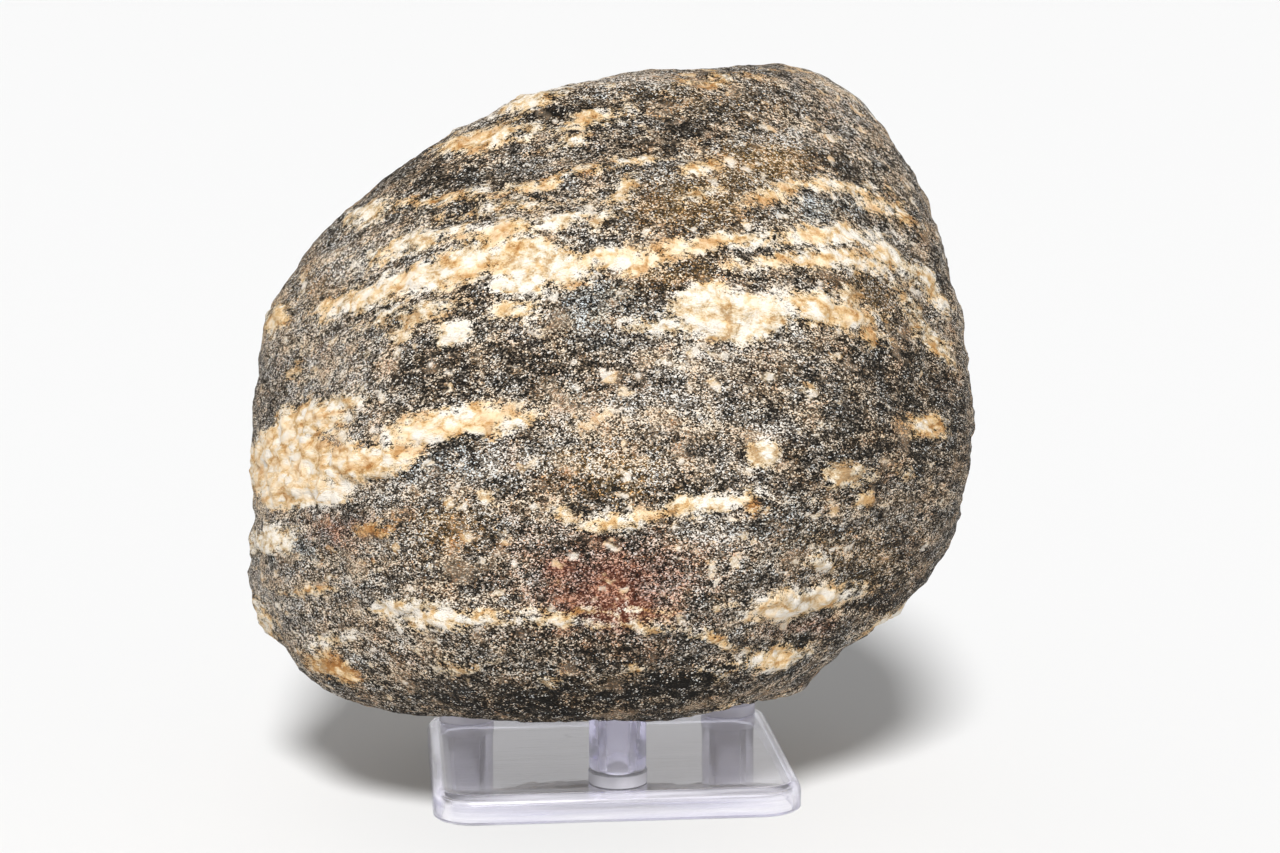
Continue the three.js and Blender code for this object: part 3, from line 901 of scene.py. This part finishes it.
def stand_finish(settings):
    """Clear, slightly lilac moulded plastic with faint scratches, a little haze, and painted light
    in the haze on the tray's edge.
    """
    graph = Graph(bpy.data.materials.new("clear_plastic"))
    place = graph.node("ShaderNodeTexCoord").outputs["Object"]
    ripple = graph.noise(place, 120.0, detail=1.0)
    strokes = graph.node("ShaderNodeMapping", {
        "Vector": place, "Rotation": (0.3, 0.2, 0.6), "Scale": (18.0, 260.0, 60.0),
    })
    scratches = graph.node(
        "ShaderNodeTexVoronoi", {"Vector": strokes.outputs[0], "Scale": 1.0},
        feature="DISTANCE_TO_EDGE",
    )
    marks = 1 - Value(graph, scratches.outputs["Distance"]).above(0.0, 0.012)
    sheets = graph.node("ShaderNodeMapping", {"Vector": place, "Scale": (1.0, 1.0, 24.0)})
    flow = graph.noise(sheets.outputs[0], 35.0, detail=2.0)
    bump = graph.node("ShaderNodeBump", {
        "Height": ripple * 0.3 - marks * 0.05 + flow * 1.2, "Strength": 0.15, "Distance": 0.3 * MM,
    })
    shader = graph.node("ShaderNodeBsdfPrincipled", {
        "Base Color": (0.965, 0.96, 0.995), "Roughness": marks * 0.12 + 0.02,
        "Normal": bump.outputs[0], "IOR": settings.index, "Transmission Weight": 0.945,
    })
    share, painted_rim_lilac = haze_share(graph, place, settings, ripple, flow)
    haze = graph.node("ShaderNodeBsdfPrincipled", {
        "Base Color": graph.mixed(painted_rim_lilac, (0.93, 0.91, 1.0), (0.42, 0.41, 0.53)),
        "Roughness": 0.2, "IOR": settings.index,
        "Normal": bump.outputs[0], "Transmission Weight": 0.3,
    })
    shader = graph.node(
        "ShaderNodeMixShader", {0: share, 1: shader.outputs[0], 2: haze.outputs[0]}
    )
    depth = graph.node("ShaderNodeVolumeAbsorption", {
        "Color": settings.tint, "Density": settings.tint_depth,
    })
    return graph.finish(shader, inside=depth)


# ------ the stand's surface


def rounded_rectangle(width, depth, corner, steps=12):
    """Points round a rectangle with quarter circles at its corners, against the clock."""
    angles = np.linspace(0, math.pi / 2, steps)
    quarters = []
    for i, (side_x, side_y) in enumerate(((1, 1), (-1, 1), (-1, -1), (1, -1))):
        turn = angles + i * math.pi / 2
        x = side_x * (width / 2 - corner) + corner * np.cos(turn)
        y = side_y * (depth / 2 - corner) + corner * np.sin(turn)
        quarters.append(np.stack([x, y], axis=1))
    return np.concatenate(quarters)


def lofted(rings):
    """A closed surface through rings of equal count, from a pole to a pole: each ring is joined
    to the next by quads, and the first and last close onto their middles by triangles."""
    count = len(rings[0])
    points = np.concatenate([rings[0].mean(axis=0)[None], *rings, rings[-1].mean(axis=0)[None]])
    around = np.arange(count)
    following = (around + 1) % count
    faces = []
    for i in range(len(rings) - 1):
        low, high = 1 + i * count, 1 + (i + 1) * count
        quads = np.stack([low + around, low + following, high + following, high + around], axis=1)
        faces += quads.tolist()
    last = 1 + (len(rings) - 1) * count
    faces += [[0, 1 + b, 1 + a] for a, b in zip(around.tolist(), following.tolist())]
    top = len(points) - 1
    faces += [[top, last + a, last + b] for a, b in zip(around.tolist(), following.tolist())]
    return points, faces


def arc(middle, radius, start, end, steps=5):
    """Points of a circle's arc, from one angle to another in degrees."""
    turn = np.radians(np.linspace(start, end, steps))
    return [(middle[0] + radius * math.cos(t), middle[1] + radius * math.sin(t)) for t in turn]


def tray_surface(settings):
    """The tray: a rounded rectangle drawn in by an inset that changes with height, along the
    profile under the plate, down inside the rim, round its foot, up outside and over the top."""
    top, wall = settings.plate_top, settings.wall
    ceiling = top - wall
    profile = [(wall + 3 * MM, ceiling)]
    profile += arc((wall + INNER_ROUND, ceiling - INNER_ROUND), INNER_ROUND, 90, 180, 4)
    profile += [(wall, FOOT_CUT), (wall - FOOT_CUT, 0.0), (FOOT_CUT, 0.0), (0.0, FOOT_CUT)]
    profile += arc((TOP_ROUND, top - TOP_ROUND), TOP_ROUND, 180, 90, 9)
    profile += [(6 * MM, top)]
    rings = []
    for inset, height in profile:
        corner = max(settings.corner - inset, 0.5 * MM)
        ring = rounded_rectangle(stand_width - 2 * inset, stand_depth - 2 * inset, corner)
        rings.append(np.column_stack([ring, np.full(len(ring), height)]))
    return lofted(rings)


def peg_surface(settings, x, y):
    """A peg: a profile of radius and height turned about its middle, from the stub under the
    plate, over the collar, up the tube, round the rim and down the bore."""
    radius, bore = settings.peg_radius, settings.peg_radius - settings.peg_wall
    top, plate = float(peg_top), settings.plate_top
    collar, collar_top = radius + COLLAR_STEP, plate + COLLAR_HEIGHT
    stub_foot, sunk = plate - settings.wall - STUB_DEPTH, plate - settings.wall / 2
    profile = [(STUB_RADIUS, stub_foot), (STUB_RADIUS, sunk), (collar, sunk)]
    profile += [(collar, plate + 0.3 * MM), (collar, collar_top - 0.4 * MM), (radius, collar_top)]
    profile += arc((radius - PEG_ROUND, top - PEG_ROUND), PEG_ROUND, 0, 90, 4)
    profile += arc((bore + PEG_ROUND, top - PEG_ROUND), PEG_ROUND, 90, 180, 4)
    profile += arc((bore - BORE_ROUND, plate + BORE_FLOOR), BORE_ROUND, 0, -90, 4)
    turn = np.linspace(0, 2 * math.pi, 72, endpoint=False)
    rings = []
    for r, z in profile:
        ring = [x + r * np.cos(turn), y + r * np.sin(turn), np.full(len(turn), z)]
        rings.append(np.stack(ring, axis=1))
    return lofted(rings)


def joined(body, tool):
    """Joins a second closed mesh to the first, and removes it."""
    modifier = body.modifiers.new("join", "BOOLEAN")
    modifier.operation = "UNION"
    modifier.solver = "EXACT"
    modifier.object = tool
    shown = body.evaluated_get(bpy.context.evaluated_depsgraph_get())
    solid = bpy.data.meshes.new_from_object(shown)
    body.modifiers.clear()
    body.data = solid
    bpy.data.objects.remove(tool)


# ------ operators


class SPECIMEN_OT_cobble(bpy.types.Operator):
    """Builds the gneiss cobble and its finish"""

    bl_idname = "specimen.cobble"
    bl_label = "Gneiss Cobble"

    def execute(self, context):
        settings = context.scene.cobble
        directions, quads = cube_directions(settings.grid_steps)
        radius = worn_radius(directions)
        radius = radius + lump_height(directions, radius)
        points = directions * radius[:, None]
        numbers = markings(points)
        relief = fine_relief(points, numbers["vein"], settings.relief / MM)
        points += directions * relief[:, None]
        layering = layer_place(points) * MM
        placed = pressed_by_pegs(points @ stone_turn().T + np.array(STONE_MIDDLE)) * MM
        placed[:, :2] += stand_middle[:2]
        cobble = new_mesh("cobble", placed.tolist(), quads.tolist(), gneiss_finish(settings))
        hold_numbers(cobble.data, "layering", layering)
        for name, values in numbers.items():
            hold_numbers(cobble.data, name, values)
        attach(cobble, "root")
        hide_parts("gneiss_stone")
        return {"FINISHED"}


class SPECIMEN_OT_stand(bpy.types.Operator):
    """Builds the clear display stand with its three pegs"""

    bl_idname = "specimen.stand"
    bl_label = "Display Stand"

    def execute(self, context):
        settings = context.scene.stand
        material = stand_finish(settings)
        surfaces = [tray_surface(settings)]
        surfaces += [peg_surface(settings, x * MM, y * MM) for x, y in peg_places()]
        parts = []
        for points, faces in surfaces:
            points[:, :2] += stand_middle[:2]
            parts.append(new_mesh("clear_stand", points.tolist(), faces, material))
        stand, *pegs = parts
        for peg in pegs:
            joined(stand, peg)
        stand.data.shade_smooth()
        stand.data.set_sharp_from_angle(angle=math.radians(40))
        # Light passes through the clear plastic to the floor, and the floor doesn't see it.
        stand.visible_shadow = False
        stand.visible_diffuse = False
        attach(stand, "root")
        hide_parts("display_stand")
        return {"FINISHED"}


class SPECIMEN_OT_stage(bpy.types.Operator):
    """Builds the plain floor, the soft lights and the camera"""

    bl_idname = "specimen.stage"
    bl_label = "Stage"

    # The camera, from the stand's middle in plan and from the floor.
    camera_place = (-52.8, -627.5, 189.2)  # mm
    camera_turn = 5.5  # degrees from looking along +Y towards +X
    camera_dip = 9.66  # degrees below level
    camera_lens = 78.75  # mm on a 36 mm wide sensor
    light_aside = 2  # degrees from the camera's heading, to the left
    light_above = 43  # degrees above level
    backdrop_height = (0.25, 0.45)  # sines of the angles above level where it fades out

    def execute(self, context):
        settings = context.scene.stage
        self.add_floor(settings)
        self.add_light(settings)
        self.add_room_light(context, settings)
        self.add_camera(context)
        context.scene.view_settings.view_transform = "Standard"
        return {"FINISHED"}

    def add_floor(self, settings):
        """The plain pale floor."""
        half = settings.floor_size / 2
        corners = [(-half, -half, 0), (half, -half, 0), (half, half, 0), (-half, half, 0)]
        graph = Graph(bpy.data.materials.new("floor"))
        material = graph.finish(graph.node("ShaderNodeBsdfPrincipled", {
            "Base Color": (0.83, 0.83, 0.83), "Roughness": 0.9,
        }))
        floor = new_mesh("floor", corners, [(0, 1, 2, 3)], material)

    def add_light(self, settings):
        """The one soft light, from above the camera."""
        lamp = bpy.data.lights.new("studio_light", "SUN")
        lamp.energy = settings.light_strength
        lamp.angle = settings.light_softness
        light = new_object("studio_light", lamp)
        tilt = math.radians(90 - self.light_above)
        turn = -math.radians(self.light_aside + self.camera_turn)
        light.rotation_euler = (tilt, 0.0, turn)

    def add_room_light(self, context, settings):
        """The room: a pale backdrop all round up to its height, and a dimmer ceiling above."""
        graph = Graph(bpy.data.worlds.new("room"))
        place = graph.node("ShaderNodeTexCoord").outputs["Generated"]
        parts = graph.node("ShaderNodeSeparateXYZ", {"Vector": place})
        height = Value(graph, parts.outputs["Z"])
        low, high = self.backdrop_height
        light = settings.backdrop_light + height.above(low, high) * (
            settings.ceiling_light - settings.backdrop_light
        )
        background = graph.node(
            "ShaderNodeBackground", {"Color": (1.0, 1.0, 1.0), "Strength": light}
        )
        context.scene.world = graph.finish(background, "ShaderNodeOutputWorld")

    def add_camera(self, context):
        """The camera that the scene is viewed through."""
        lens = bpy.data.cameras.new("camera")
        lens.sensor_width = 36.0
        lens.lens = self.camera_lens
        camera = new_object("camera", lens)
        x, y, z = (MM * number for number in self.camera_place)
        camera.location = (stand_middle[0] + x, stand_middle[1] + y, z)
        dip = math.radians(90 - self.camera_dip)
        camera.rotation_euler = (dip, 0.0, -math.radians(self.camera_turn))
        context.scene.camera = camera


class SPECIMEN_PT_panel(bpy.types.Panel):
    """Lists the pieces and the stage"""

    bl_idname = "SPECIMEN_PT_panel"
    bl_label = "Gneiss Specimen"
    bl_space_type = "VIEW_3D"
    bl_region_type = "UI"
    bl_category = "Specimen"

    def draw(self, context):
        layout = self.layout
        for settings, operator in (
            (context.scene.cobble, SPECIMEN_OT_cobble),
            (context.scene.stand, SPECIMEN_OT_stand),
            (context.scene.stage, SPECIMEN_OT_stage),
        ):
            box = layout.box()
            box.operator(operator.bl_idname)
            for name in settings.__annotations__:
                box.prop(settings, name)


CLASSES = (
    CobbleSettings,
    StandSettings,
    StageSettings,
    SPECIMEN_OT_cobble,
    SPECIMEN_OT_stand,
    SPECIMEN_OT_stage,
    SPECIMEN_PT_panel,
)


def register():
    """Adds the classes, and the settings to each scene."""
    for kind in CLASSES:
        bpy.utils.register_class(kind)
    bpy.types.Scene.cobble = PointerProperty(type=CobbleSettings)
    bpy.types.Scene.stand = PointerProperty(type=StandSettings)
    bpy.types.Scene.stage = PointerProperty(type=StageSettings)


def unregister():
    """Takes the settings and the classes away again."""
    for name in ("cobble", "stand", "stage"):
        delattr(bpy.types.Scene, name)
    for kind in reversed(CLASSES):
        bpy.utils.unregister_class(kind)


def main():
    """Builds every piece and the stage."""
    register()
    bpy.ops.specimen.cobble()
    bpy.ops.specimen.stand()
    bpy.ops.specimen.stage()


if __name__ == "__main__":
    main()
